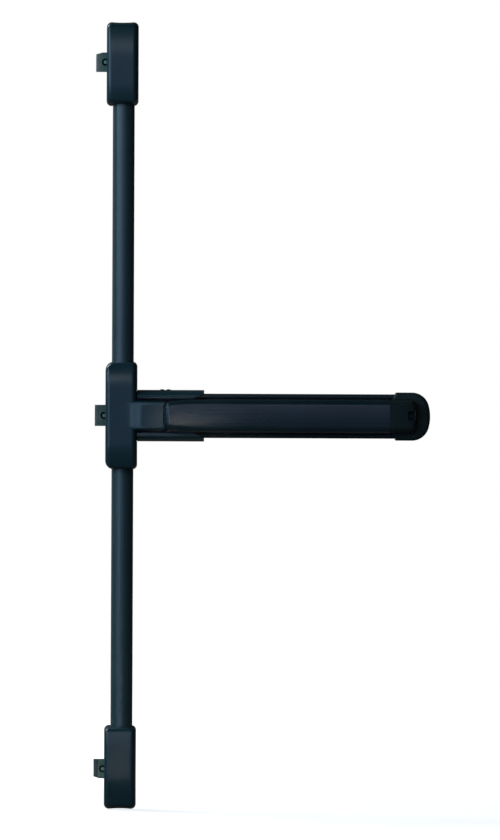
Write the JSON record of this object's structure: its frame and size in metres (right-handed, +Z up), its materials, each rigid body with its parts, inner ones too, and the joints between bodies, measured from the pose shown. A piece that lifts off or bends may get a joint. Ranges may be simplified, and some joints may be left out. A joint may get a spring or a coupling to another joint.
{
  "type": "multipoint panic lock",
  "caption": "Surface panic lock for an escape door: a push bar draws side latches at its case and at the ends of two covered rods.",
  "frame": {"origin": "centre of the central case's four fixing holes, on the door's face", "axes": "+X along the push bar away from the latches, +Y into the door, +Z up along the rods; the lock lies on the -Y side"},
  "size_m": [0.503, 0.074, 1.1824],
  "materials": {
    "painted_case": "satin",
    "painted_pad": "satin",
    "painted_profile": "satin",
    "moulded_black": "fine grained",
    "latch_steel": "sintered, oiled",
    "zinc_steel": "zinc plated",
    "spring_steel": "drawn wire",
    "black_screws": "blackened"
  },
  "bodies": {
    "frame": {"case_back_plate": "zinc_steel", "case_cover": "painted_case", "case_cover_screws": "black_screws", "case_crank_studs": "zinc_steel", "case_latch_guide": "zinc_steel", "case_latch_springs": "spring_steel", "rail_bracket": "painted_case", "bracket_base": "painted_case", "bracket_clamp_screws": "black_screws", "push_rail": "painted_profile", "slide_guides": "moulded_black", "return_spring": "spring_steel", "rocker_brackets": "zinc_steel", "rocker_pivot_pins": "zinc_steel", "rail_end_bracket": "zinc_steel", "rail_end_cap": "moulded_black", "end_cap_screws": "black_screws", "upper_rod_cover": "painted_profile", "lower_rod_cover": "painted_profile", "rod_guides": "moulded_black", "top_case_plate": "zinc_steel", "top_case_cover": "painted_case", "top_cover_screws": "black_screws", "top_latch_guide": "zinc_steel", "top_crank_stud": "zinc_steel", "top_latch_spring": "spring_steel", "bottom_case_plate": "zinc_steel", "bottom_case_cover": "painted_case", "bottom_cover_screws": "black_screws", "bottom_latch_guide": "zinc_steel", "bottom_crank_stud": "zinc_steel", "bottom_latch_spring": "spring_steel"},
    "pad": {"push_pad": "painted_pad", "pad_end_block": "moulded_black", "pad_end_carrier": "zinc_steel", "pad_end_screw": "black_screws", "pad_feet": "zinc_steel", "pad_foot_pins": "zinc_steel"},
    "left_rocker": {"left_rocker": "zinc_steel"},
    "right_rocker": {"right_rocker": "zinc_steel"},
    "slide": {"drive_slide": "zinc_steel", "slide_pins": "zinc_steel"},
    "case_latch": {"case_latch": "latch_steel", "case_latch_pin": "latch_steel"},
    "upper_crank": {"upper_crank": "zinc_steel"},
    "lower_crank": {"lower_crank": "zinc_steel"},
    "upper_rod": {"upper_rod": "zinc_steel", "upper_rod_pins": "zinc_steel"},
    "lower_rod": {"lower_rod": "zinc_steel", "lower_rod_pins": "zinc_steel"},
    "top_crank": {"top_crank": "zinc_steel"},
    "bottom_crank": {"bottom_crank": "zinc_steel"},
    "top_latch": {"top_latch": "latch_steel", "top_latch_pins": "latch_steel"},
    "bottom_latch": {"bottom_latch": "latch_steel", "bottom_latch_pins": "latch_steel"}
  },
  "joints": [
    {"name": "pad_push", "type": "slide", "parent": "frame", "child": "pad", "axis": [0, 1, 0], "range_m": [0, 0.013], "stiffness_N_per_m": 2000, "springref_m": -0.02},
    {"name": "left_rocker_turn", "type": "hinge", "parent": "frame", "child": "left_rocker", "pos_m": [0.15, -0.041, 0], "axis": [0, 0, -1], "range_deg": [0, 28.07]},
    {"name": "right_rocker_turn", "type": "hinge", "parent": "frame", "child": "right_rocker", "pos_m": [0.35, -0.041, 0], "axis": [0, 0, -1], "range_deg": [0, 28.07]},
    {"name": "slide_travel", "type": "slide", "parent": "frame", "child": "slide", "axis": [1, 0, 0], "range_m": [0, 0.015], "deforming": ["return_spring"]},
    {"name": "case_latch_travel", "type": "slide", "parent": "frame", "child": "case_latch", "axis": [1, 0, 0], "range_m": [0, 0.015], "deforming": ["case_latch_springs"]},
    {"name": "upper_crank_turn", "type": "hinge", "parent": "frame", "child": "upper_crank", "pos_m": [0.0125, -0.0125, 0.0405], "axis": [0, -1, 0], "range_deg": [0, 36.87]},
    {"name": "lower_crank_turn", "type": "hinge", "parent": "frame", "child": "lower_crank", "pos_m": [0.0125, -0.0125, -0.0405], "axis": [0, 1, 0], "range_deg": [0, 36.87]},
    {"name": "upper_rod_travel", "type": "slide", "parent": "frame", "child": "upper_rod", "axis": [0, 0, -1], "range_m": [0, 0.007]},
    {"name": "lower_rod_travel", "type": "slide", "parent": "frame", "child": "lower_rod", "axis": [0, 0, 1], "range_m": [0, 0.007]},
    {"name": "top_crank_turn", "type": "hinge", "parent": "frame", "child": "top_crank", "pos_m": [-0.0085, -0.0125, 0.5075], "axis": [0, 1, 0], "range_deg": [0, 36.87]},
    {"name": "bottom_crank_turn", "type": "hinge", "parent": "frame", "child": "bottom_crank", "pos_m": [-0.0085, -0.0125, -0.5075], "axis": [0, -1, 0], "range_deg": [0, 36.87]},
    {"name": "top_latch_travel", "type": "slide", "parent": "frame", "child": "top_latch", "axis": [1, 0, 0], "range_m": [0, 0.015], "deforming": ["top_latch_spring"]},
    {"name": "bottom_latch_travel", "type": "slide", "parent": "frame", "child": "bottom_latch", "axis": [1, 0, 0], "range_m": [0, 0.015], "deforming": ["bottom_latch_spring"]}
  ],
  "couplings": [
    {"joint": "left_rocker_turn", "follows": "pad_push", "rad_per_m": 37.689},
    {"joint": "right_rocker_turn", "follows": "pad_push", "rad_per_m": 37.689},
    {"joint": "slide_travel", "follows": "pad_push", "ratio": 1.1538},
    {"joint": "case_latch_travel", "follows": "pad_push", "ratio": 1.1538},
    {"joint": "upper_crank_turn", "follows": "pad_push", "rad_per_m": 49.5},
    {"joint": "lower_crank_turn", "follows": "pad_push", "rad_per_m": 49.5},
    {"joint": "upper_rod_travel", "follows": "pad_push", "ratio": 0.53846},
    {"joint": "lower_rod_travel", "follows": "pad_push", "ratio": 0.53846},
    {"joint": "top_crank_turn", "follows": "pad_push", "rad_per_m": 49.5},
    {"joint": "bottom_crank_turn", "follows": "pad_push", "rad_per_m": 49.5},
    {"joint": "top_latch_travel", "follows": "pad_push", "ratio": 1.1538},
    {"joint": "bottom_latch_travel", "follows": "pad_push", "ratio": 1.1538}
  ]
}
